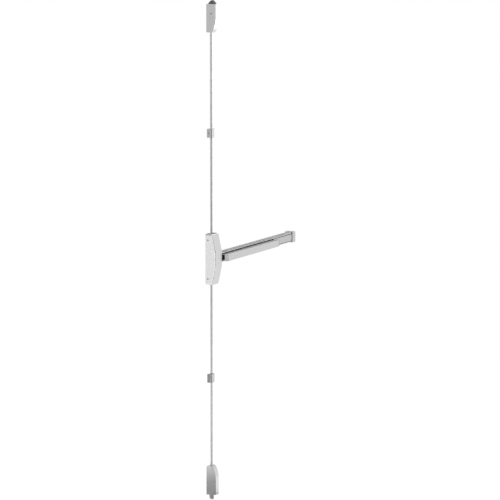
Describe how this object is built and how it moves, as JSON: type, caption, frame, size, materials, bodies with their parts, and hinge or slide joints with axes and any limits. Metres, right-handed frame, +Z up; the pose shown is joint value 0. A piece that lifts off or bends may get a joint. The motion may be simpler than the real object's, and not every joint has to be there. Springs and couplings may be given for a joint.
{
  "type": "vertical rod exit device",
  "caption": "Surface vertical rod exit device: a sprung push bar on a rail draws rods that drop a pivoted top bolt and lift a round bottom bolt.",
  "frame": {"origin": "on the door face, on the rods' line, at the height of the push bar's centreline", "axes": "+X along the push rail away from the centre case, +Y into the door, +Z up along the rods"},
  "size_m": [0.7945, 0.066, 2.1324],
  "materials": {
    "case_steel": "satin stainless steel",
    "rail_aluminium": "clear anodised extrusion",
    "bar_steel": "satin, brushed along its length",
    "bar_end_plastic": "grey moulding",
    "channel_black": "black",
    "cap_metal": "grey metallic paint",
    "rod_steel": "satin drawn rod",
    "bolt_steel": "machined steel",
    "screw_steel": "plain steel",
    "zinc_plate": "zinc plated pressing",
    "spring_steel": "spring wire",
    "nylon": "natural nylon"
  },
  "bodies": {
    "frame": {"head_base_plate": "zinc_plate", "head_cover": "case_steel", "head_screws_left": "screw_steel", "head_screws_right": "screw_steel", "head_post_upper": "screw_steel", "head_post_lower": "screw_steel", "slide_stud": "screw_steel", "rod_spring_upper": "spring_steel", "rod_spring_lower": "spring_steel", "rail_housing": "rail_aluminium", "rail_tongue": "zinc_plate", "crank_bracket_near": "zinc_plate", "crank_pin_near": "screw_steel", "crank_bracket_far": "zinc_plate", "crank_pin_far": "screw_steel", "filler_plate": "rail_aluminium", "end_bracket": "zinc_plate", "end_cap": "cap_metal", "end_cap_screw": "screw_steel", "guide_base_upper": "zinc_plate", "guide_bush_upper": "nylon", "guide_cover_upper": "case_steel", "guide_screws_upper": "screw_steel", "guide_base_lower": "zinc_plate", "guide_bush_lower": "nylon", "guide_cover_lower": "case_steel", "guide_screws_lower": "screw_steel", "top_cover": "case_steel", "top_base": "zinc_plate", "top_pivot_pin": "screw_steel", "top_screws": "screw_steel", "foot_cover": "case_steel", "foot_base": "zinc_plate", "foot_bolt_guide": "nylon", "foot_screws": "screw_steel"},
    "push_bar": {"push_bar_skin": "bar_steel", "push_bar_channel": "channel_black", "push_bar_end_left": "bar_end_plastic", "push_bar_end_right": "bar_end_plastic", "drive_yoke_near": "zinc_plate", "drive_pin_near": "screw_steel", "drive_yoke_far": "zinc_plate", "drive_pin_far": "screw_steel"},
    "rail_crank_near_body": {"rail_crank_near": "zinc_plate"},
    "rail_crank_far_body": {"rail_crank_far": "zinc_plate"},
    "control_link_body": {"control_link": "zinc_plate", "head_slide": "zinc_plate"},
    "head_crank_upper_body": {"head_crank_upper": "zinc_plate"},
    "head_crank_lower_body": {"head_crank_lower": "zinc_plate"},
    "upper_rod_body": {"rod_connector_upper": "zinc_plate", "rod_upper": "rod_steel", "top_yoke": "zinc_plate"},
    "lower_rod_body": {"rod_connector_lower": "zinc_plate", "rod_lower": "rod_steel", "bottom_bolt": "bolt_steel"},
    "top_bolt_body": {"top_bolt": "bolt_steel"}
  },
  "joints": [
    {"name": "push_bar_press", "type": "slide", "parent": "frame", "child": "push_bar", "axis": [0, 1, 0], "range_m": [0, 0.012], "stiffness_N_per_m": 2500, "springref_m": -0.01},
    {"name": "rail_crank_near_turn", "type": "hinge", "parent": "frame", "child": "rail_crank_near_body", "pos_m": [0.14, -0.0145, 0], "axis": [0, 0, 1], "range_deg": [0, 47.16]},
    {"name": "rail_crank_far_turn", "type": "hinge", "parent": "frame", "child": "rail_crank_far_body", "pos_m": [0.455, -0.0145, 0], "axis": [0, 0, 1], "range_deg": [0, 47.16]},
    {"name": "control_link_slide", "type": "slide", "parent": "frame", "child": "control_link_body", "axis": [1, 0, 0], "range_m": [0, 0.012]},
    {"name": "head_crank_upper_turn", "type": "hinge", "parent": "frame", "child": "head_crank_upper_body", "pos_m": [0.01833, -0.0196, 0.027], "axis": [0, -1, 0], "range_deg": [0, 47.16]},
    {"name": "head_crank_lower_turn", "type": "hinge", "parent": "frame", "child": "head_crank_lower_body", "pos_m": [0.01833, -0.0196, -0.027], "axis": [0, 1, 0], "range_deg": [0, 47.16]},
    {"name": "upper_rod_slide", "type": "slide", "parent": "frame", "child": "upper_rod_body", "axis": [0, 0, -1], "range_m": [0, 0.016], "deforming": ["rod_spring_upper"]},
    {"name": "lower_rod_slide", "type": "slide", "parent": "frame", "child": "lower_rod_body", "axis": [0, 0, 1], "range_m": [0, 0.016], "deforming": ["rod_spring_lower"]},
    {"name": "top_bolt_turn", "type": "hinge", "parent": "frame", "child": "top_bolt_body", "pos_m": [0, -0.009, 1.063], "axis": [1, 0, 0], "range_deg": [0, 45]}
  ],
  "couplings": [
    {"joint": "rail_crank_near_turn", "follows": "push_bar_press", "rad_per_m": 68.58},
    {"joint": "rail_crank_far_turn", "follows": "push_bar_press", "rad_per_m": 68.58},
    {"joint": "control_link_slide", "follows": "push_bar_press", "ratio": 1},
    {"joint": "head_crank_upper_turn", "follows": "push_bar_press", "rad_per_m": 68.58},
    {"joint": "head_crank_lower_turn", "follows": "push_bar_press", "rad_per_m": 68.58},
    {"joint": "upper_rod_slide", "follows": "push_bar_press", "ratio": 1.3333},
    {"joint": "lower_rod_slide", "follows": "push_bar_press", "ratio": 1.3333},
    {"joint": "top_bolt_turn", "follows": "push_bar_press", "rad_per_m": 65.449}
  ]
}
